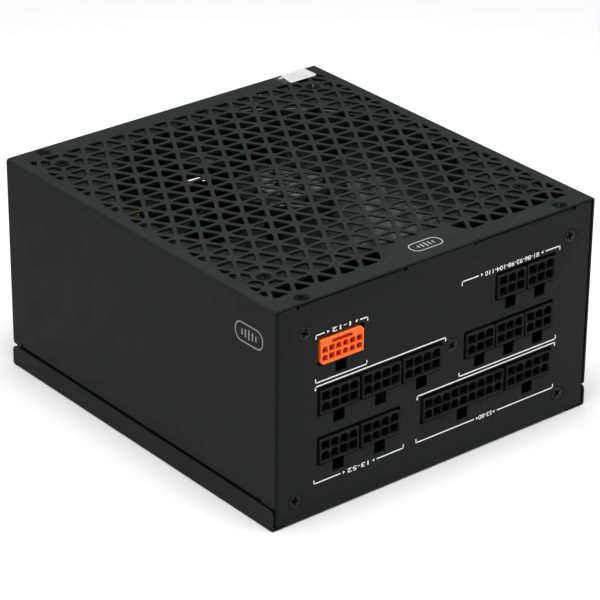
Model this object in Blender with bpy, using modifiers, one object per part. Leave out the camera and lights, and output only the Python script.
"""A modular ATX power supply unit, in metres with +Z up.

The origin is the centre of the flat base. The panel with the cable sockets faces -Y, the
panel with the mains inlet faces +Y, and the fan grille faces +Z. Each object is one
physical piece, named as it would be on a workbench.
"""

import math

import bmesh
import bpy
from mathutils import Matrix, Vector

MM = 0.001

# ---- Driving dimensions of the casing -------------------------------------------------
WIDTH = 150 * MM
DEPTH = 160 * MM
HEIGHT = 86 * MM
SHEET = 0.8 * MM
BEND = 1.2 * MM  # outer radius of the folded edges
FIT = 0.3 * MM  # clearance between neighbouring pieces

HALF_W = WIDTH / 2
HALF_D = DEPTH / 2
COVER_X = HALF_W - 0.6 * MM  # outer face of the cover's side walls
PANEL_X = COVER_X - SHEET - FIT  # side edges of the two end panels
PANEL_TOP = HEIGHT - SHEET - FIT

# ---- Where the cover meets the tray ---------------------------------------------------
FLANGE_TOP = 8.25 * MM
FLANGE_ENDS = (-HALF_D + FIT, HALF_D - FIT)
TAB_FOOT = 8.9 * MM  # the cover's wall at its two ends
JOGGLE_Z = 9.7 * MM  # between the ends the wall steps inwards below this height
JOGGLE_Y = (-72.4 * MM, 74.0 * MM)
JOGGLE_FOOT = 3 * MM
JOGGLE_LAP = 11.5 * MM
RETURN_DEPTH = 6.5 * MM  # side edges of the front panel, folded back into the casing
REAR_RETURN = 5.5 * MM
TAB_X = (16.8 * MM, 64.3 * MM)  # tabs at the panels' tops, under the cover's screws
TAB_DEPTH = 7.5 * MM
REAR_TAB = 7 * MM
NOTCH = 1.3 * MM  # relief notches at both ends of each tab
NOTCH_X = (16.2 * MM, 64.4 * MM)

# ---- Fan and grille -------------------------------------------------------------------
FAN_Y = 4.2 * MM
FAN_HOLES = 120 * MM
FAN_SIZE = 135 * MM
FAN_THICK = 25 * MM
FAN_TOP = HEIGHT - SHEET - FIT
FAN_FLOOR = FAN_TOP - FAN_THICK
FAN_BORE = 64 * MM
FAN_FLANGE = 3.5 * MM
HUB_R = 21 * MM
HUB_TOP = FAN_TOP - 2.2 * MM
BLADES = 9

CELL_X = FAN_HOLES / 12  # side of a grille triangle
CELL_Y = FAN_HOLES / 14  # height of a row of triangles
BAR = 1.6 * MM
GRILLE_X = 69.7 * MM
GRILLE_Y = 72 * MM
LOGO_PAD = (17 * MM, 22 * MM, FAN_Y - FAN_HOLES / 2 - CELL_Y)  # half widths and inner edge

# ---- Screws ---------------------------------------------------------------------------
HEAD_R = 2.7 * MM
SHANK_R = 1.5 * MM
HEAD_SINK = 0.1 * MM
HEAD_DEEP = 1.6 * MM
SINK_R = 3.0 * MM  # countersink radius at the sheet's face
CLEAR_R = 2.3 * MM  # hole in whatever lies under the sheet
SCREW_PAD_R = 4 * MM  # plain disc of sheet round each of the fan's screws
COVER_SCREW_X = 60 * MM
COVER_SCREW_Y = 76.5 * MM
PANEL_SCREWS = [
    (x * MM, z * MM) for x, z in ((-61.2, 73.7), (62.7, 73.8), (6.5, 47.2), (-65, 9.2), (60.3, 9.6))
]

# ---- Cable sockets on the front panel -------------------------------------------------
PITCH = 4.2 * MM
SOCKET_RIM = 0.8 * MM  # what a socket's width has beyond its cells' pitch
SOCKET_H = 9.4 * MM
SOCKET_DROP = 0.35 * MM  # from the middle of an opening down to the middle of its sockets
SOCKET_PROUD = 0.5 * MM
SOCKET_DEEP = 12 * MM
CELL = 3.8 * MM
CELL_DEEP = 9 * MM
OPENING_H = 11.2 * MM
LATCH_W = 5 * MM
LATCH_H = 4.7 * MM
ROW_HIGH, ROW_MIDDLE, ROW_LOW = 64 * MM, 44.9 * MM, 25.4 * MM

# Each socket is (name, centre x, its opening's centre z, upper row, lower row): s is a
# square cell, and c a cell with its two top corners cut, which is how the plugs are keyed.
SIX = ("scc", "css")
EIGHT = ("sccc", "ccss")
SOCKETS = (
    ("socket_8pin_1", -45.5 * MM, ROW_MIDDLE, *EIGHT),
    ("socket_8pin_2", -26.5 * MM, ROW_MIDDLE, *EIGHT),
    ("socket_8pin_3", -7.5 * MM, ROW_MIDDLE, *EIGHT),
    ("socket_8pin_4", -45.5 * MM, ROW_LOW, *EIGHT),
    ("socket_8pin_5", -26.5 * MM, ROW_LOW, *EIGHT),
    ("socket_18pin", 12.7 * MM, ROW_LOW, "sccssccss", "csscccscc"),
    ("socket_10pin", 44.5 * MM, ROW_LOW, "sccss", "csscc"),
    ("socket_6pin_1", 34.4 * MM, ROW_HIGH, *SIX),
    ("socket_6pin_2", 48.7 * MM, ROW_HIGH, *SIX),
    ("socket_6pin_3", 20.1 * MM, ROW_MIDDLE, *SIX),
    ("socket_6pin_4", 34.4 * MM, ROW_MIDDLE, *SIX),
    ("socket_6pin_5", 48.7 * MM, ROW_MIDDLE, *SIX),
)
# Openings in the panel: centre z, left and right end of the row of sockets in each.
OPENINGS = (
    (ROW_MIDDLE, -55.3 * MM, 2.1 * MM),
    (ROW_LOW, -55.3 * MM, -16.9 * MM),
    (ROW_LOW, -7.3 * MM, 56.3 * MM),
    (ROW_HIGH, 26.7 * MM, 56.2 * MM),
    (ROW_MIDDLE, 12.4 * MM, 56.2 * MM),
)
HIGH_POWER = (-44.9 * MM, 64.1 * MM)  # centre of the orange twelve-contact socket
HIGH_POWER_SIZE = (19.4 * MM, 9.7 * MM)
HIGH_POWER_GAP = 0.7 * MM  # between it and its opening in the panel
HIGH_POWER_PITCH = 3.06 * MM
HIGH_POWER_CELL = (2.35 * MM, 2.6 * MM)
HIGH_POWER_ROW = 63.2 * MM
SENSE_SLOT = (9.2 * MM, 1.5 * MM, 67.2 * MM)  # width, height, centre z

# ---- Circuit boards -------------------------------------------------------------------
BOARD = 1.6 * MM
BOARD_Z = 7.2 * MM
BOARD_HALF_X = 66 * MM
BOARD_Y = (-60 * MM, 70 * MM)
POST_XY = ((-60 * MM, -50 * MM), (60 * MM, -50 * MM), (-60 * MM, 64 * MM), (30 * MM, 64 * MM))
POST_R = 3 * MM
POST_HOLE_R = 1.8 * MM
MODULE_X = (-68 * MM, 66 * MM)  # the upright socket board
MODULE_Z = (5 * MM, 79 * MM)
MODULE_Y = -HALF_D + SOCKET_DEEP + FIT  # its front face
MODULE_POST_R = 2.6 * MM
PARTS_Z = BOARD_Z + BOARD + FIT  # where parts stand on the main board
BULK_CAPACITOR_XY = (-42 * MM, 44 * MM)
OUTPUT_CAPACITOR_XY = (20 * MM, -46 * MM)
TRANSFORMER_XY = (-10 * MM, -3 * MM)
POWER_CHOKE_XY = (-8 * MM, 42 * MM)
MAINS_CHOKE_XY = (16 * MM, 58 * MM)
PRIMARY_SINK_Y = 15 * MM
OUTPUT_SINK_Y = -32 * MM
SINK_WIDTH = 96 * MM
SINK_FINS = 9

# ---- Rear panel -----------------------------------------------------------------------
HEX_PITCH = 9.4 * MM
HEX_R = 4.7 * MM
VENT_X = (-63 * MM, 29 * MM)
VENT_Z = (10 * MM, 78 * MM)
REAR_HOLES = [(x * MM, z * MM) for x, z in ((-69, 6), (69, 6), (-69, 70), (45, 80))]
REAR_HOLE_R = 1.5 * MM
INLET = (50 * MM, 25 * MM)
INLET_FLANGE = (31 * MM, 24 * MM, 2.2 * MM)
INLET_BODY = (26.6 * MM, 19.6 * MM, 21 * MM)
INLET_RECESS = (24.5 * MM, 16.5 * MM, 17 * MM)
INLET_CUT = 5 * MM  # cut corners of the recess, on the earth pin's side
BLADE = (2 * MM, 4 * MM, 29 * MM)  # a pin's thickness, height and length
PIN_SINK = 1.5 * MM  # from the flange's face to the pins' tips
SWITCH = (50 * MM, 53 * MM)
SWITCH_FLANGE = (22 * MM, 15 * MM, 1.6 * MM)
SWITCH_BODY = (19.8 * MM, 12.8 * MM, 15 * MM)
SWITCH_HOLE = (18 * MM, 10.8 * MM, 11 * MM)
ROCKER_R = 8.7 * MM  # its ends are arcs about the pivot
ROCKER_H = 10.2 * MM
ROCKER_PIVOT_Y = HALF_D - 1.5 * MM
ROCKER_TILT = math.radians(12)

ROUND = 24  # sides of the larger round pieces
SMALL_ROUND = 12  # sides of screws and wires
RING_SIDES = 16


# ---- Collections and materials --------------------------------------------------------
def clear_scene():
    for obj in list(bpy.data.objects):
        bpy.data.objects.remove(obj, do_unlink=True)


def new_collection(name, hidden=False):
    collection = bpy.data.collections.new(name)
    collection.hide_render = hidden
    bpy.context.scene.collection.children.link(collection)
    return collection


def new_material(name, color, roughness, metallic=0.0):
    material = bpy.data.materials.new(name)
    material.use_nodes = True
    shader = material.node_tree.nodes["Principled BSDF"]
    shader.inputs["Base Color"].default_value = (*color, 1.0)
    shader.inputs["Roughness"].default_value = roughness
    shader.inputs["Metallic"].default_value = metallic
    material.diffuse_color = (*color, 1.0)
    return material


# ---- Building blocks ------------------------------------------------------------------
def add_box(bm, low, high):
    """A box between two corners, from a unit cube."""
    low, high = Vector(low), Vector(high)
    place = Matrix.Translation((low + high) / 2) @ Matrix.Diagonal((*(high - low), 1))
    bmesh.ops.create_cube(bm, size=1, matrix=place)


def add_rod(bm, base, radius, height, sides=ROUND, axis="Z"):
    """A cylinder that starts at base and runs along +Z, or along +Y."""
    turn = Matrix.Rotation(-math.pi / 2, 4, "X") if axis == "Y" else Matrix()
    place = Matrix.Translation(base) @ turn @ Matrix.Translation((0, 0, height / 2))
    bmesh.ops.create_cone(
        bm, cap_ends=True, segments=sides, radius1=radius, radius2=radius, depth=height, matrix=place
    )


def mesh_from(bm, name):
    mesh = bpy.data.meshes.new(name)
    bm.to_mesh(mesh)
    bm.free()
    return mesh


def boxes(name, *corners):
    """One mesh of boxes that don't touch, each from its low and high corner."""
    bm = bmesh.new()
    for low, high in corners:
        add_box(bm, low, high)
    return mesh_from(bm, name)


def rods(name, places, radius, height, sides=ROUND, axis="Z"):
    bm = bmesh.new()
    for base in places:
        add_rod(bm, base, radius, height, sides, axis)
    return mesh_from(bm, name)


def piece(name, data, material, location=(0, 0, 0)):
    """A finished piece of the power supply."""
    obj = bpy.data.objects.new(name, data)
    if not data.materials:
        data.materials.append(material)
    obj.location = location
    PARTS.objects.link(obj)
    return obj


def tool(name, mesh):
    """A shape that a piece is cut by or joined with."""
    obj = bpy.data.objects.new(name, mesh)
    obj.hide_render = True
    obj.display_type = "WIRE"
    TOOLS.objects.link(obj)
    return obj


def combine(obj, operation, mesh):
    helper = tool(f"{obj.name}_{operation.lower()}_{len(obj.modifiers)}", mesh)
    modifier = obj.modifiers.new(helper.name, "BOOLEAN")
    modifier.operation = operation
    modifier.solver = "EXACT"
    modifier.object = helper
    return helper


def cut(obj, mesh):
    return combine(obj, "DIFFERENCE", mesh)


def join(obj, mesh):
    return combine(obj, "UNION", mesh)


def thicken(obj, thickness, offset=0.0):
    modifier = obj.modifiers.new("sheet", "SOLIDIFY")
    modifier.thickness = thickness
    modifier.offset = offset
    modifier.use_even_offset = True


def prism(name, outlines, low, high, plane="XY"):
    """Flat outlines made solid between two heights, in XY along Z, or in XZ along Y."""
    curve = bpy.data.curves.new(name, "CURVE")
    curve.dimensions = "2D"
    curve.fill_mode = "BOTH"
    curve.extrude = (high - low) / 2
    for outline in outlines:
        spline = curve.splines.new("POLY")
        spline.points.add(len(outline) - 1)
        for point, (x, y) in zip(spline.points, outline):
            point.co = (x, y, 0, 1)
        spline.use_cyclic_u = True
    holder = bpy.data.objects.new(name, curve)
    bpy.context.scene.collection.objects.link(holder)
    graph = bpy.context.evaluated_depsgraph_get()
    mesh = bpy.data.meshes.new_from_object(holder.evaluated_get(graph))
    bpy.data.objects.remove(holder)
    bpy.data.curves.remove(curve)
    middle = (low + high) / 2
    place = Matrix.Translation((0, 0, middle))
    if plane == "XZ":
        place = Matrix.Translation((0, middle, 0)) @ Matrix.Rotation(math.pi / 2, 4, "X")
    bm = bmesh.new()
    bm.from_mesh(mesh)
    bmesh.ops.transform(bm, matrix=place, verts=bm.verts)
    bmesh.ops.remove_doubles(bm, verts=bm.verts, dist=1e-7)
    bmesh.ops.recalc_face_normals(bm, faces=bm.faces)
    bpy.data.meshes.remove(mesh)
    return mesh_from(bm, name)


def turned(name, profile, material, location, steps=ROUND, rotation=(0, 0, 0), data=None):
    """A profile of (radius, z) points, from the top down its outer side, turned about Z."""
    if data is None:
        bm = bmesh.new()
        looped = profile[0] == profile[-1]
        points = [bm.verts.new((radius, 0, z)) for radius, z in profile[: len(profile) - looped]]
        for first, second in zip(points, points[1:] + points[: int(looped)]):
            bm.edges.new((first, second))
        data = mesh_from(bm, name)
    obj = piece(name, data, material, location)
    obj.rotation_euler = rotation
    modifier = obj.modifiers.new("turn", "SCREW")
    modifier.steps = steps
    modifier.render_steps = steps
    modifier.use_merge_vertices = True
    modifier.merge_threshold = 1e-6
    modifier.use_smooth_shade = False
    return obj


def wire(name, points, radius, material):
    """A round cable through the points, in short straight lengths."""
    curve = bpy.data.curves.new(name, "CURVE")
    curve.dimensions = "3D"
    curve.bevel_depth = radius
    curve.bevel_resolution = 1
    curve.use_fill_caps = True
    spline = curve.splines.new("POLY")
    spline.points.add(len(points) - 1)
    for point, place in zip(spline.points, points):
        point.co = (*place, 1)
    return piece(name, curve, material)


def rectangle(x, y, width, height):
    return [
        (x - width / 2, y - height / 2),
        (x + width / 2, y - height / 2),
        (x + width / 2, y + height / 2),
        (x - width / 2, y + height / 2),
    ]


def circle(x, y, radius, sides):
    turns = [2 * math.pi * i / sides for i in range(sides)]
    return [(x + radius * math.cos(a), y + radius * math.sin(a)) for a in turns]


def arc(centre, radius, start, end, steps=3):
    """Points on an arc, with its angles in degrees."""
    angles = [math.radians(start + (end - start) * i / steps) for i in range(steps + 1)]
    return [(centre[0] + radius * math.cos(a), centre[1] + radius * math.sin(a)) for a in angles]


# ---- Grille pattern -------------------------------------------------------------------
def shrunk_triangle(corners, margin):
    """A triangle with each side moved inwards by the margin."""
    sides = [math.dist(corners[(i + 1) % 3], corners[(i + 2) % 3]) for i in range(3)]
    around = sum(sides)
    inner = [sum(s * c[k] for s, c in zip(sides, corners)) / around for k in (0, 1)]
    half = around / 2
    area = math.sqrt(half * (half - sides[0]) * (half - sides[1]) * (half - sides[2]))
    ratio = 1 - margin * half / area
    return [tuple(inner[k] + ratio * (c[k] - inner[k]) for k in (0, 1)) for c in corners]


def clipped(outline, axis, limit, keep_below):
    """The part of a convex outline on one side of a line along X or Y."""
    kept = []
    for i, here in enumerate(outline):
        before = outline[i - 1]
        inside = (here[axis] < limit) == keep_below
        if inside != ((before[axis] < limit) == keep_below):
            t = (limit - before[axis]) / (here[axis] - before[axis])
            kept.append(tuple(before[k] + t * (here[k] - before[k]) for k in (0, 1)))
        if inside:
            kept.append(here)
    return kept


def outline_area(outline):
    pairs = zip(outline, outline[1:] + outline[:1])
    return abs(sum(a[0] * b[1] - b[0] * a[1] for a, b in pairs)) / 2


def on_logo_pad(outline):
    """Whether a cell falls on the plain pad in the middle of the grille's front edge."""
    x = abs(sum(p[0] for p in outline) / len(outline))
    y = sum(p[1] for p in outline) / len(outline)
    half_in, half_out, inner = LOGO_PAD
    reach = half_in + (half_out - half_in) * (inner - y) / (inner + GRILLE_Y)
    return y < inner and x < reach


def grille_cells():
    """The grille's triangular holes: every bar of the lattice meets the fan's screw holes."""
    first_bar = FAN_Y - FAN_HOLES / 2
    low = math.floor((-GRILLE_Y - first_bar) / CELL_Y)
    high = math.ceil((GRILLE_Y - first_bar) / CELL_Y)
    reach = math.ceil(GRILLE_X / CELL_X) + 1
    cells = []
    for row in range(low, high):
        y0 = first_bar + row * CELL_Y
        y1 = y0 + CELL_Y
        shift = (row % 2) * CELL_X / 2
        for column in range(-reach, reach):
            x = column * CELL_X + shift
            upright = [(x, y0), (x + CELL_X, y0), (x + CELL_X / 2, y1)]
            hanging = [(x + CELL_X, y0), (x + CELL_X * 1.5, y1), (x + CELL_X / 2, y1)]
            for corners in (upright, hanging):
                cell = shrunk_triangle(corners, BAR / 2)
                for axis, limit in ((0, GRILLE_X), (1, GRILLE_Y)):
                    cell = clipped(cell, axis, limit, True)
                    cell = clipped(cell, axis, -limit, False) if cell else cell
                if len(cell) > 2 and outline_area(cell) > 3 * MM * MM and not on_logo_pad(cell):
                    cells.append(cell)
    return cells


def hex_cells():
    """The honeycomb of the rear vent."""
    cells = []
    row = 0
    z = VENT_Z[0] + HEX_R
    while z + HEX_R <= VENT_Z[1]:
        x = VENT_X[0] + HEX_R + (row % 2) * HEX_PITCH / 2
        while x + HEX_R <= VENT_X[1]:
            corners = [math.radians(30 + 60 * i) for i in range(6)]
            cells.append([(x + HEX_R * math.cos(a), z + HEX_R * math.sin(a)) for a in corners])
            x += HEX_PITCH
        z += HEX_PITCH * math.sqrt(3) / 2
        row += 1
    return cells


# ---- Casing ---------------------------------------------------------------------------
def extruded_line(name, points, axis, low, high):
    """An open sheet from a line of points, stretched along X or Y."""
    bm = bmesh.new()
    across = [(low, *p) if axis == "X" else (p[0], low, p[1]) for p in points]
    verts = [bm.verts.new(co) for co in across]
    edges = [bm.edges.new(pair) for pair in zip(verts, verts[1:])]
    made = bmesh.ops.extrude_edge_only(bm, edges=edges)
    moved = [v for v in made["geom"] if isinstance(v, bmesh.types.BMVert)]
    step = (high - low, 0, 0) if axis == "X" else (0, high - low, 0)
    bmesh.ops.translate(bm, verts=moved, vec=step)
    return mesh_from(bm, name)


def both_sides(low, high):
    """A box and its mirror image in X."""
    return (low, high), ((-high[0], low[1], low[2]), (-low[0], high[1], high[2]))


def fan_screw_places():
    return [(sx * FAN_HOLES / 2, FAN_Y + sy * FAN_HOLES / 2) for sy in (1, -1) for sx in (-1, 1)]


def cover_screw_places():
    return [(sx * COVER_SCREW_X, sy * COVER_SCREW_Y) for sy in (1, -1) for sx in (-1, 1)]


def countersinks(name, places, face, axis):
    """Cones that sink a screw's head into sheet metal: face is the outer surface."""
    bm = bmesh.new()
    reach = 1.5 * SHEET
    for a, b in places:
        if axis == "Z":
            place = Matrix.Translation((a, b, face))
        else:
            place = Matrix.Translation((a, face, b)) @ Matrix.Rotation(math.pi / 2, 4, "X")
        bmesh.ops.create_cone(
            bm,
            cap_ends=True,
            segments=SMALL_ROUND,
            radius1=SINK_R - reach * 0.75,
            radius2=SINK_R + reach * 0.75,
            depth=2 * reach,
            matrix=place,
        )
    return mesh_from(bm, name)


def make_cover():
    """Top and both side walls, folded from one sheet, with the fan grille cut in the top."""
    middle = SHEET / 2
    x, z = COVER_X - middle, HEIGHT - middle
    bend = BEND - middle
    line = [(0, z), *arc((x - bend, z - bend), bend, 90, 0), (x, TAB_FOOT)]
    sheet = extruded_line("top_cover", line, "Y", -HALF_D, HALF_D)
    cover = piece("top_cover", sheet, BLACK_STEEL)
    mirror = cover.modifiers.new("other_half", "MIRROR")
    mirror.merge_threshold = 1e-5
    thicken(cover, SHEET)
    low, high = JOGGLE_Y
    edge = (COVER_X - 2 * SHEET, low, 0), (COVER_X + SHEET, high, JOGGLE_Z)
    cut(cover, boxes("wall_step", *both_sides(*edge)))
    inner = COVER_X - 1.9 * SHEET, low + 2 * FIT, JOGGLE_FOOT
    outer = COVER_X - 0.9 * SHEET, high - 2 * FIT, JOGGLE_LAP
    join(cover, boxes("joggle", *both_sides(inner, outer)))
    holes = fan_screw_places() + cover_screw_places()
    cut(cover, countersinks("screw_sinks", holes, HEIGHT, "Z"))
    grille = cut(cover, prism("grille", grille_cells(), HEIGHT - 3 * SHEET, HEIGHT + SHEET))
    pads = [(px, py, HEIGHT - 4 * SHEET) for px, py in fan_screw_places()]
    cut(grille, rods("screw_pads", pads, SCREW_PAD_R, 6 * SHEET, SMALL_ROUND))


def side_flanges():
    """The tray's low side walls, with the strips of base that carry them."""
    inner = PANEL_X - 0.5 * MM
    low, high = FLANGE_ENDS
    shape = [
        (inner, 0),
        (HALF_W - 0.4 * MM, 0),
        (HALF_W, 0.4 * MM),
        (HALF_W, FLANGE_TOP),
        (HALF_W - SHEET, FLANGE_TOP),
        (HALF_W - SHEET, SHEET),
        (inner, SHEET),
    ]
    other = [(-x, z) for x, z in shape]
    return prism("side_flanges", [shape, other], low, high, "XZ")


def screw_tabs():
    """Tabs folded inwards from the tops of both end panels, under the cover's screws."""
    low, high = TAB_X
    face = HALF_D - SHEET / 2
    shapes = []
    for near, far in ((-face, TAB_DEPTH - HALF_D), (HALF_D - REAR_TAB, face)):
        shapes += both_sides((low, near, PANEL_TOP - SHEET), (high, far, PANEL_TOP))
    return boxes("screw_tabs", *shapes)


def panel_returns():
    """The side edges of both end panels, folded back into the casing."""
    face = HALF_D - SHEET / 2
    shapes = []
    for near, far in ((-face, RETURN_DEPTH - HALF_D), (HALF_D - REAR_RETURN, face)):
        low = (PANEL_X - SHEET, near, SHEET / 2)
        shapes += both_sides(low, (PANEL_X, far, PANEL_TOP - 2 * SHEET))
    return boxes("panel_returns", *shapes)


def tab_notches():
    """Relief notches in the front panel's top edge, at both ends of each screw tab."""
    shapes = []
    for x in NOTCH_X:
        low = (x - NOTCH / 2, -HALF_D - SHEET, PANEL_TOP - NOTCH)
        shapes += both_sides(low, (x + NOTCH / 2, -HALF_D + 3 * SHEET, PANEL_TOP + SHEET))
    return boxes("tab_notches", *shapes)


def socket_openings():
    spans = [rectangle((a + b) / 2, z, b - a, OPENING_H) for z, a, b in OPENINGS]
    width, height = HIGH_POWER_SIZE
    gaps = 2 * HIGH_POWER_GAP
    spans.append(rectangle(*HIGH_POWER, width + gaps, height + gaps))
    return prism("socket_openings", spans, -HALF_D - SHEET, -HALF_D + 2 * SHEET, "XZ")


def latch_openings():
    """Notches below the sockets, which let each plug's latch through the panel."""
    notches = []
    for _, x, z, _, _ in SOCKETS:
        top = z - OPENING_H / 2 + FIT
        notches.append(rectangle(x, top - (LATCH_H + FIT) / 2, LATCH_W, LATCH_H + FIT))
    x, z = HIGH_POWER
    top = z - HIGH_POWER_SIZE[1] / 2 - HIGH_POWER_GAP + FIT
    notches.append(rectangle(x, top - LATCH_H / 2, LATCH_W, LATCH_H))
    return prism("latch_openings", notches, -HALF_D - SHEET, -HALF_D + 2 * SHEET, "XZ")


def rear_openings():
    """The vent, the inlet's and the switch's openings, and the four mounting holes."""
    cells = hex_cells()
    cells.append(rectangle(*INLET, INLET_BODY[0] + 2 * FIT, INLET_BODY[1] + 2 * FIT))
    cells.append(rectangle(*SWITCH, SWITCH_BODY[0] + 2 * FIT, SWITCH_BODY[1] + 2 * FIT))
    cells += [circle(x, z, REAR_HOLE_R, SMALL_ROUND) for x, z in REAR_HOLES]
    return prism("rear_openings", cells, HALF_D - 2 * SHEET, HALF_D + SHEET, "XZ")


def make_tray():
    """Base, side flanges and both end panels, folded from one sheet."""
    middle = SHEET / 2
    y, bend = HALF_D - middle, BEND - middle
    front = arc((-y + bend, middle + bend), bend, 180, 270)
    rear = arc((y - bend, middle + bend), bend, 270, 360)
    line = [(-y, PANEL_TOP), *front, *rear, (y, PANEL_TOP)]
    tray = piece("bottom_tray", extruded_line("bottom_tray", line, "X", -PANEL_X, PANEL_X), BLACK_STEEL)
    thicken(tray, SHEET)
    join(tray, side_flanges())
    join(tray, screw_tabs())
    join(tray, panel_returns())
    posts = [(px, py, middle) for px, py in POST_XY]
    join(tray, rods("board_posts", posts, POST_R, BOARD_Z - FIT - middle, SMALL_ROUND))
    under = [(px, py, -SHEET) for px, py in POST_XY]
    cut(tray, rods("post_holes", under, POST_HOLE_R, BOARD_Z * 2, SMALL_ROUND))
    cut(tray, tab_notches())
    cut(tray, socket_openings())
    cut(tray, latch_openings())
    cut(tray, countersinks("panel_sinks", PANEL_SCREWS, -HALF_D, "Y"))
    cut(tray, rear_openings())
    below = [(px, py, PANEL_TOP - 2 * SHEET) for px, py in cover_screw_places()]
    cut(tray, rods("tab_holes", below, CLEAR_R, 3 * SHEET, SMALL_ROUND))


# ---- Fasteners ------------------------------------------------------------------------
def screw_profile(length):
    return [
        (0, -HEAD_SINK),
        (HEAD_R, -HEAD_SINK),
        (HEAD_R, -2 * HEAD_SINK),
        (SHANK_R, -HEAD_DEEP),
        (SHANK_R, -length),
        (0, -length),
    ]


def make_screws(name, places, length, rotation=(0, 0, 0)):
    """Countersunk screws whose heads face +Z before they are rotated."""
    shared = None
    for number, place in enumerate(places, 1):
        title = f"{name}_{number}"
        screw = turned(title, screw_profile(length), SCREW_STEEL, place, SMALL_ROUND, rotation, shared)
        shared = screw.data


def make_all_screws():
    top = [(x, y, HEIGHT) for x, y in cover_screw_places()]
    make_screws("cover_screw", top, 5 * MM)
    fan = [(x, y, HEIGHT) for x, y in fan_screw_places()]
    make_screws("fan_screw", fan, 9 * MM)
    front = [(x, -HALF_D, z) for x, z in PANEL_SCREWS]
    make_screws("panel_screw", front, 10 * MM, (math.pi / 2, 0, 0))


# ---- Fan ------------------------------------------------------------------------------
def fan_flange_outline():
    """A rounded square: one quarter's corner arc, turned four times."""
    half, corner = FAN_SIZE / 2, 6 * MM
    centre = half - corner
    points = []
    for quarter in range(4):
        sx, sy = ((1, 1), (-1, 1), (-1, -1), (1, -1))[quarter]
        points += arc((sx * centre, sy * centre), corner, 90 * quarter, 90 * quarter + 90)
    return points


def make_fan_frame():
    """Two square flanges, the round duct between them, and four struts to the motor's seat."""
    sides = ROUND * 3 // 2
    height = FAN_THICK
    inner, outer = FAN_BORE + 0.3 * MM, FAN_BORE + 2.3 * MM
    low, high = FAN_FLANGE / 2, height - FAN_FLANGE / 2
    duct = [(inner, high), (outer, high), (outer, low), (inner, low), (inner, high)]
    frame = turned("fan_frame", duct, FAN_PLASTIC, (0, FAN_Y, FAN_FLOOR), sides)
    bore = circle(0, 0, FAN_BORE, sides)
    holes = [circle(x, y - FAN_Y, CLEAR_R, SMALL_ROUND) for x, y in fan_screw_places()]
    plate = [fan_flange_outline(), bore, *holes]
    join(frame, prism("lower_flange", plate, 0, FAN_FLANGE)).location = frame.location
    join(frame, prism("upper_flange", plate, height - FAN_FLANGE, height)).location = frame.location
    bm = bmesh.new()
    reach = FAN_BORE + MM
    for quarter in range(4):
        turn = Matrix.Rotation(math.radians(45 + 90 * quarter), 4, "Z")
        low, high = Vector((HUB_R - 4 * MM, -2 * MM, 0.3 * MM)), Vector((reach, 2 * MM, 2.2 * MM))
        place = turn @ Matrix.Translation((low + high) / 2) @ Matrix.Diagonal((*(high - low), 1))
        bmesh.ops.create_cube(bm, size=1, matrix=place)
    join(frame, mesh_from(bm, "struts")).location = frame.location
    join(frame, rods("motor_seat", [(0, 0, 0)], HUB_R, 2.5 * MM)).location = frame.location
    join(frame, rods("bearing_tube", [(0, 0, MM)], 5 * MM, 15 * MM)).location = frame.location
    cut(frame, rods("bearing_seat", [(0, 0, 2 * MM)], 3.5 * MM, 20 * MM)).location = frame.location


def blade_mesh():
    """One blade as a thin twisted sheet from the hub's wall to the tip."""
    along, across = 3, 2
    bm = bmesh.new()
    rows = []
    for i in range(along + 1):
        t = i / along
        radius = HUB_R - MM + t * (FAN_BORE - 1.5 * MM - HUB_R + MM)
        sweep = math.radians(-6 + 26 * t * t)
        wide = math.radians(40 - 9 * t)
        rise = (16 - 4 * t) * MM
        row = []
        for j in range(across + 1):
            s = j / across - 0.5
            angle = sweep + wide * s
            lift = rise * (s + 0.25 * s * s)
            row.append(bm.verts.new((radius * math.cos(angle), radius * math.sin(angle), lift)))
        rows.append(row)
    for near, far in zip(rows, rows[1:]):
        for j in range(across):
            bm.faces.new((near[j], far[j], far[j + 1], near[j + 1]))
    return bm


def make_rotor():
    """The hub cup, open below for the motor, with its blades."""
    top = HUB_TOP - FAN_FLOOR
    wall, skirt = 1.5 * MM, 4 * MM
    rotor = turned(
        "fan_rotor",
        [
            (0, top),
            (HUB_R - MM, top),
            (HUB_R, top - MM),
            (HUB_R, skirt),
            (HUB_R - wall, skirt),
            (HUB_R - wall, top - wall),
            (4 * MM, top - wall),
            (4 * MM, top - wall - 3 * MM),
            (0, top - wall - 3 * MM),
        ],
        FAN_PLASTIC,
        (0, FAN_Y, FAN_FLOOR),
        ROUND,
    )
    for number in range(BLADES):
        turn = Matrix.Rotation(2 * math.pi * number / BLADES, 4, "Z")
        bm = blade_mesh()
        middle = Matrix.Translation((0, 0, (top + skirt) / 2))
        bmesh.ops.transform(bm, matrix=turn @ middle, verts=bm.verts)
        blade = join(rotor, mesh_from(bm, "blade"))
        blade.location = rotor.location
        thicken(blade, 1.4 * MM)
    shaft_hole = rods("shaft_hole", [(0, 0, top - wall - 5 * MM)], 1.2 * MM, 4 * MM, SMALL_ROUND)
    cut(rotor, shaft_hole).location = rotor.location


def make_fan_motor():
    """The shaft turns with the rotor; the bearing and the stator stay with the frame."""
    base = (0, FAN_Y, FAN_FLOOR)
    top = HUB_TOP - FAN_FLOOR - 3 * MM
    foot = 3 * MM
    shaft = [(0, top), (1.1 * MM, top), (1.1 * MM, foot), (0, foot)]
    turned("fan_shaft", shaft, BRIGHT_STEEL, base, SMALL_ROUND)
    low, high = 2.3 * MM, 15 * MM
    bush = [(1.25 * MM, high), (3.2 * MM, high), (3.2 * MM, low), (1.25 * MM, low), (1.25 * MM, high)]
    turned("fan_bearing", bush, BRASS, base, SMALL_ROUND)
    low, high = 4 * MM, 13 * MM
    coil = [(5.3 * MM, high), (17 * MM, high), (17 * MM, low), (5.3 * MM, low), (5.3 * MM, high)]
    turned("fan_stator", coil, COPPER, base, SMALL_ROUND)


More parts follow.
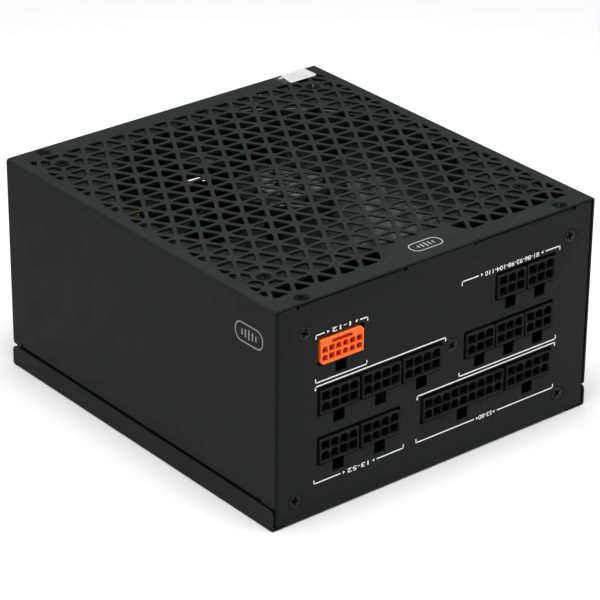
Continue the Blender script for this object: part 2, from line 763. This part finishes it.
def make_fan_label():
    label_z = HUB_TOP + FIT / 2
    profile = [(0, 0.15 * MM), (12.5 * MM, 0.15 * MM), (12.5 * MM, 0), (0, 0)]
    turned("fan_label", profile, LABEL_PAPER, (0, FAN_Y, label_z), ROUND)


def make_fan_cable():
    """Two-core cable from the motor's seat, under a strut, and down to the main board."""
    z = FAN_FLOOR - 1.8 * MM
    points = [
        (-10 * MM, FAN_Y + 10 * MM, z),
        (-38 * MM, FAN_Y + 38 * MM, z),
        (-56 * MM, 56 * MM, z - 2 * MM),
        (-62 * MM, 57 * MM, z - 12 * MM),
        (-62 * MM, 57 * MM, PARTS_Z + 4 * MM),
    ]
    wire("fan_cable", points, 1.2 * MM, BLACK_RUBBER)


# ---- Sockets --------------------------------------------------------------------------
def cell_outline(x, z, kind, size):
    """One contact's cell: a square, or a square with its two top corners cut."""
    half = size / 2
    if kind == "s":
        return rectangle(x, z, size, size)
    corner = half * 0.55
    shape = [(-half, -half), (half, -half), (half, half - corner), (half - corner, half)]
    shape += [(corner - half, half), (-half, half - corner)]
    return [(x + a, z + b) for a, b in shape]


def make_socket(name, x, opening_z, upper, lower):
    """A two-row cable socket, with a cell for each contact and a catch for the latch."""
    columns = len(upper)
    z = opening_z - SOCKET_DROP
    width = columns * PITCH + SOCKET_RIM
    front = -HALF_D - SOCKET_PROUD
    back = -HALF_D + SOCKET_DEEP
    corner = (x - width / 2, front, z - SOCKET_H / 2)
    body = boxes(name, (corner, (x + width / 2, back, z + SOCKET_H / 2)))
    socket = piece(name, body, BLACK_NYLON)
    catch = (x - 1.6 * MM, -HALF_D + 4 * MM, z - SOCKET_H / 2 - 1.2 * MM)
    join(socket, boxes("catch", (catch, (x + 1.6 * MM, back - 4 * MM, z))))
    cells = []
    for side, kinds in ((1, upper), (-1, lower)):
        for column, kind in enumerate(kinds):
            cell_x = x + (column - (columns - 1) / 2) * PITCH
            cells.append(cell_outline(cell_x, z + side * PITCH / 2, kind, CELL))
    cut(socket, prism("cells", cells, front - MM, -HALF_D + CELL_DEEP, "XZ"))


def make_high_power_socket():
    """The orange socket: twelve small cells, a slot for the sensing contacts, a cut corner."""
    x, z = HIGH_POWER
    half_w, half_h = HIGH_POWER_SIZE[0] / 2, HIGH_POWER_SIZE[1] / 2
    corner = 1.5 * MM
    outline = [
        (x - half_w, z - half_h + corner),
        (x - half_w + corner, z - half_h),
        (x + half_w, z - half_h),
        (x + half_w, z + half_h - corner),
        (x + half_w - corner, z + half_h),
        (x - half_w, z + half_h),
    ]
    front = -HALF_D - 0.5 * MM
    body = prism("socket_12pin", [outline], front, -HALF_D + SOCKET_DEEP, "XZ")
    socket = piece("socket_12pin", body, ORANGE_NYLON)
    slot_w, slot_h, slot_z = SENSE_SLOT
    cells = [rectangle(x, slot_z, slot_w, slot_h)]
    for side in (1, -1):
        for column in range(6):
            cell_x = x + (column - 2.5) * HIGH_POWER_PITCH
            cell_z = HIGH_POWER_ROW + side * HIGH_POWER_PITCH / 2
            cells.append(rectangle(cell_x, cell_z, *HIGH_POWER_CELL))
    cut(socket, prism("cells", cells, front - MM, -HALF_D + CELL_DEEP, "XZ"))


# ---- Circuit boards -------------------------------------------------------------------
def make_boards():
    low, high = BOARD_Y
    board = boxes("main_board", ((-BOARD_HALF_X, low, BOARD_Z), (BOARD_HALF_X, high, BOARD_Z + BOARD)))
    main = piece("main_board", board, BOARD_GREEN)
    holes = [(x, y, BOARD_Z - BOARD) for x, y in POST_XY]
    cut(main, rods("board_holes", holes, POST_HOLE_R, 3 * BOARD, SMALL_ROUND))
    corner = (MODULE_X[0], MODULE_Y, MODULE_Z[0])
    upright = (corner, (MODULE_X[1], MODULE_Y + BOARD, MODULE_Z[1]))
    module = piece("socket_board", boxes("socket_board", upright), BOARD_GREEN)
    front = -HALF_D + SHEET + 2 * FIT
    posts = [(x, front, z) for x, z in PANEL_SCREWS]
    length = MODULE_Y + BOARD / 2 - front
    join(module, rods("posts", posts, MODULE_POST_R, length, SMALL_ROUND, "Y"))
    bores = [(x, front - MM, z) for x, z in PANEL_SCREWS]
    cut(module, rods("bores", bores, SHANK_R + FIT, SOCKET_DEEP + 4 * MM, SMALL_ROUND, "Y"))
    sheet = ((-BOARD_HALF_X, low, SHEET + FIT), (BOARD_HALF_X, high, SHEET + FIT + 0.4 * MM))
    insulator = piece("insulating_sheet", boxes("insulating_sheet", sheet), INSULATOR)
    around = [(x, y, 0) for x, y in POST_XY]
    cut(insulator, rods("post_clearance", around, POST_R + MM / 2, 4 * MM, SMALL_ROUND))


def make_board_screws():
    """Pan-head screws that hold the main board on the tray's posts."""
    head, tall, length = 2.8 * MM, 1.8 * MM, 6 * MM
    profile = [(0, tall), (head, tall), (head, 0), (SHANK_R, 0), (SHANK_R, -length), (0, -length)]
    shared = None
    for number, (x, y) in enumerate(POST_XY, 1):
        title = f"board_screw_{number}"
        place = (x, y, BOARD_Z + BOARD + FIT / 3)
        screw = turned(title, profile, BRIGHT_STEEL, place, SMALL_ROUND, data=shared)
        shared = screw.data


# ---- Parts on the main board ----------------------------------------------------------
def make_capacitors():
    bulk_r, bulk_h = 15 * MM, 42 * MM
    can = [(0, bulk_h), (bulk_r - MM, bulk_h), (bulk_r, bulk_h - MM), (bulk_r, 0), (0, 0)]
    turned("bulk_capacitor", can, CAPACITOR_SLEEVE, (*BULK_CAPACITOR_XY, PARTS_Z), ROUND)
    small_r, small_h = 5 * MM, 22 * MM
    can = [(0, small_h), (small_r, small_h), (small_r, 0), (0, 0)]
    place = (*OUTPUT_CAPACITOR_XY, PARTS_Z)
    turned("output_capacitor", can, CAPACITOR_SLEEVE, place, SMALL_ROUND)


def ring(name, material, place, major, minor):
    """A wound ring that lies flat on the board."""
    bpy.ops.mesh.primitive_torus_add(
        major_radius=major,
        minor_radius=minor,
        major_segments=RING_SIDES,
        minor_segments=RING_SIDES // 2,
        location=(*place, PARTS_Z + minor),
    )
    obj = bpy.context.object
    obj.name = name
    obj.data.name = name
    obj.data.materials.append(material)
    for collection in list(obj.users_collection):
        collection.objects.unlink(obj)
    PARTS.objects.link(obj)


def make_magnetics():
    """The main transformer, and the ring chokes of the mains filter and the power stage."""
    x, y = TRANSFORMER_XY
    half_w, half_d, tall = 19 * MM, 8 * MM, 36 * MM
    block = ((x - half_w, y - half_d, PARTS_Z), (x + half_w, y + half_d, PARTS_Z + tall))
    core = piece("transformer_core", boxes("core_halves", block), FERRITE)
    windows = []
    for left in (x - 14 * MM, x + 6 * MM):
        low = (left, y - half_d - MM, PARTS_Z + tall / 6)
        windows.append((low, (left + 8 * MM, y + half_d + MM, PARTS_Z + tall * 5 / 6)))
    cut(core, boxes("windows", *windows))
    leg_w, leg_d = 6.6 * MM, half_d + 0.4 * MM
    coil_w, coil_d = 13.4 * MM, 15 * MM
    low, high = PARTS_Z + 6.5 * MM, PARTS_Z + 29.5 * MM
    coil = ((x - coil_w, y - coil_d, low), (x + coil_w, y + coil_d, high))
    winding = piece("transformer_winding", boxes("coil", coil), WINDING_TAPE)
    leg = ((x - leg_w, y - leg_d, low - MM), (x + leg_w, y + leg_d, high + MM))
    cut(winding, boxes("leg", leg))
    ring("power_choke", COPPER, POWER_CHOKE_XY, 12 * MM, 5 * MM)
    ring("mains_choke", COPPER, MAINS_CHOKE_XY, 7 * MM, 3.5 * MM)


def heat_sink(name, y, height):
    """An upright plate with a row of fins along its face."""
    thick, deep, rib = 2.5 * MM, 8 * MM, 1.4 * MM
    corner = (-SINK_WIDTH / 2, y, PARTS_Z)
    plate = boxes(name, (corner, (SINK_WIDTH / 2, y + thick, PARTS_Z + height)))
    sink = piece(name, plate, BARE_ALUMINIUM)
    step = (SINK_WIDTH - 2 * MM) / (SINK_FINS - 1)
    ribs = []
    for number in range(SINK_FINS):
        left = FIT - SINK_WIDTH / 2 + number * step
        low = (left, y + thick / 2, PARTS_Z + MM)
        ribs.append((low, (left + rib, y + deep, PARTS_Z + height - MM)))
    join(sink, boxes("fins", *ribs))


# ---- Mains inlet and switch -----------------------------------------------------------
def make_inlet():
    """A three-pin mains inlet: its recess has two cut corners on the earth pin's side."""
    x, z = INLET
    wide, tall, proud = INLET_FLANGE
    face = HALF_D + FIT / 2
    flange = prism("inlet_housing", [rectangle(x, z, wide, tall)], face, face + proud, "XZ")
    housing = piece("inlet_housing", flange, BLACK_NYLON)
    body_w, body_h, deep = INLET_BODY
    back = HALF_D - deep
    join(housing, prism("inlet_body", [rectangle(x, z, body_w, body_h)], back, face + MM, "XZ"))
    half_w, half_h = INLET_RECESS[0] / 2, INLET_RECESS[1] / 2
    recess = [
        (x - half_w, z - half_h),
        (x + half_w, z - half_h),
        (x + half_w, z + half_h - INLET_CUT),
        (x + half_w - INLET_CUT, z + half_h),
        (x - half_w + INLET_CUT, z + half_h),
        (x - half_w, z + half_h - INLET_CUT),
    ]
    cut(housing, prism("recess", [recess], face + proud - INLET_RECESS[2], face + 2 * proud, "XZ"))
    thick, high, long = BLADE
    slots = [rectangle(px, pz, thick + FIT, high + FIT) for _, px, pz in inlet_pins()]
    cut(housing, prism("slots", slots, back - MM, HALF_D, "XZ"))
    tip = face + proud - PIN_SINK
    for name, px, pz in inlet_pins():
        pin = rectangle(px, pz, thick, high)
        piece(name, prism(name, [pin], tip - long, tip, "XZ"), BRIGHT_STEEL)


def inlet_pins():
    x, z = INLET
    side, offset = 7 * MM, 2 * MM
    return (
        ("inlet_pin_live", x - side, z - offset),
        ("inlet_pin_neutral", x + side, z - offset),
        ("inlet_pin_earth", x, z + offset),
    )


def make_switch():
    """The mains switch: a rocker that tips about an upright axis in a snap-in housing."""
    x, z = SWITCH
    wide, tall, proud = SWITCH_FLANGE
    face = HALF_D + FIT / 2
    flange = prism("switch_housing", [rectangle(x, z, wide, tall)], face, face + proud, "XZ")
    housing = piece("switch_housing", flange, BLACK_NYLON)
    body_w, body_h, deep = SWITCH_BODY
    body = rectangle(x, z, body_w, body_h)
    join(housing, prism("switch_body", [body], HALF_D - deep, face + MM, "XZ"))
    hole_w, hole_h, hole_deep = SWITCH_HOLE
    opening = rectangle(x, z, hole_w, hole_h)
    cut(housing, prism("switch_opening", [opening], HALF_D - hole_deep, face + 2 * proud, "XZ"))
    make_rocker(x, z)


def make_rocker(x, z):
    """The rocker, with its origin on its pivot, resting with its +X end pressed in."""
    corner = 32
    tip_x = ROCKER_R * math.cos(math.radians(corner))
    tip_y = ROCKER_R * math.sin(math.radians(corner))
    low = tip_y - tip_x * math.tan(ROCKER_TILT)
    shape = [(0, low)]
    shape += arc((0, 0), ROCKER_R, 180 - corner, 205, 3)
    shape += arc((0, 0), 0.6 * ROCKER_R, 210, 330, 3)
    shape += arc((0, 0), ROCKER_R, 335, 360 + corner, 3)
    mesh = prism("switch_rocker", [shape], -ROCKER_H / 2, ROCKER_H / 2)
    rocker = piece("switch_rocker", mesh, BLACK_NYLON, (x, ROCKER_PIVOT_Y, z))
    rocker.rotation_euler = (0, 0, -ROCKER_TILT)


def make_mains_wires():
    """Insulated wires from the inlet's pins down to the main board."""
    tip = HALF_D + FIT / 2 + INLET_FLANGE[2] - PIN_SINK - BLADE[2]
    for name, px, pz in inlet_pins():
        title = name.replace("inlet_pin", "mains_wire")
        start = tip - FIT
        points = [
            (px, start, pz),
            (px, start - 5 * MM, pz),
            (px, start - 9 * MM, pz - 4 * MM),
            (px, start - 9 * MM, PARTS_Z + 2 * MM),
        ]
        wire(title, points, 1.4 * MM, WIRE_COLORS[title])


# ---- Seal -----------------------------------------------------------------------------
def make_seal():
    """A blank paper seal over the rear right cover screw, folded down over the edge."""
    gap, thick = 0.1 * MM, 0.15 * MM
    low_x, high_x = 54.8 * MM, 68.4 * MM
    off = gap + thick / 2
    fold = arc((HALF_D, HEIGHT), off, 90, 0)
    line = [(71.4 * MM, HEIGHT + off), *fold, (HALF_D + off, HEIGHT - 3 * MM)]
    seal = piece("seal_sticker", extruded_line("seal_sticker", line, "X", low_x, high_x), LABEL_PAPER)
    thicken(seal, thick)


def smooth_round_pieces():
    """Round pieces shade smoothly up to their sharp edges."""
    for obj in PARTS.objects:
        if obj.type == "MESH":
            obj.data.shade_smooth()
            obj.data.set_sharp_from_angle(angle=math.radians(35))
            for modifier in obj.modifiers:
                if modifier.type == "SCREW":
                    modifier.use_smooth_shade = True


clear_scene()
PARTS = new_collection("power_supply_unit")
TOOLS = new_collection("cutters", hidden=True)

BLACK_STEEL = new_material("black_powder_coated_steel", (0.035, 0.037, 0.036), 0.5)
SCREW_STEEL = new_material("black_screw_steel", (0.03, 0.03, 0.03), 0.3, 0.8)
FAN_PLASTIC = new_material("fan_plastic", (0.012, 0.012, 0.013), 0.4)
BLACK_NYLON = new_material("black_nylon", (0.01, 0.01, 0.011), 0.45)
ORANGE_NYLON = new_material("orange_nylon", (0.95, 0.16, 0.03), 0.45)
BLACK_RUBBER = new_material("black_rubber", (0.015, 0.015, 0.015), 0.6)
LABEL_PAPER = new_material("label_paper", (0.85, 0.85, 0.83), 0.6)
BRIGHT_STEEL = new_material("bright_steel", (0.6, 0.6, 0.6), 0.3, 1.0)
BARE_ALUMINIUM = new_material("bare_aluminium", (0.55, 0.56, 0.57), 0.4, 1.0)
BRASS = new_material("brass", (0.7, 0.5, 0.2), 0.35, 1.0)
COPPER = new_material("copper_winding", (0.6, 0.25, 0.1), 0.4, 0.9)
FERRITE = new_material("ferrite", (0.05, 0.05, 0.055), 0.6)
WINDING_TAPE = new_material("winding_tape", (0.75, 0.6, 0.1), 0.5)
BOARD_GREEN = new_material("circuit_board", (0.02, 0.08, 0.04), 0.5)
INSULATOR = new_material("insulating_film", (0.1, 0.1, 0.1), 0.5)
CAPACITOR_SLEEVE = new_material("capacitor_sleeve", (0.02, 0.02, 0.03), 0.4)
WIRE_COLORS = {
    "mains_wire_live": new_material("brown_insulation", (0.2, 0.08, 0.03), 0.5),
    "mains_wire_neutral": new_material("blue_insulation", (0.03, 0.1, 0.4), 0.5),
    "mains_wire_earth": new_material("green_insulation", (0.1, 0.4, 0.1), 0.5),
}

make_cover()
make_tray()
make_all_screws()
make_fan_frame()
make_rotor()
make_fan_motor()
make_fan_label()
make_fan_cable()
for socket_row in SOCKETS:
    make_socket(*socket_row)
make_high_power_socket()
make_boards()
make_board_screws()
make_capacitors()
make_magnetics()
heat_sink("primary_heat_sink", PRIMARY_SINK_Y, 44 * MM)
heat_sink("output_heat_sink", OUTPUT_SINK_Y, 36 * MM)
make_inlet()
make_switch()
make_mains_wires()
make_seal()
smooth_round_pieces()
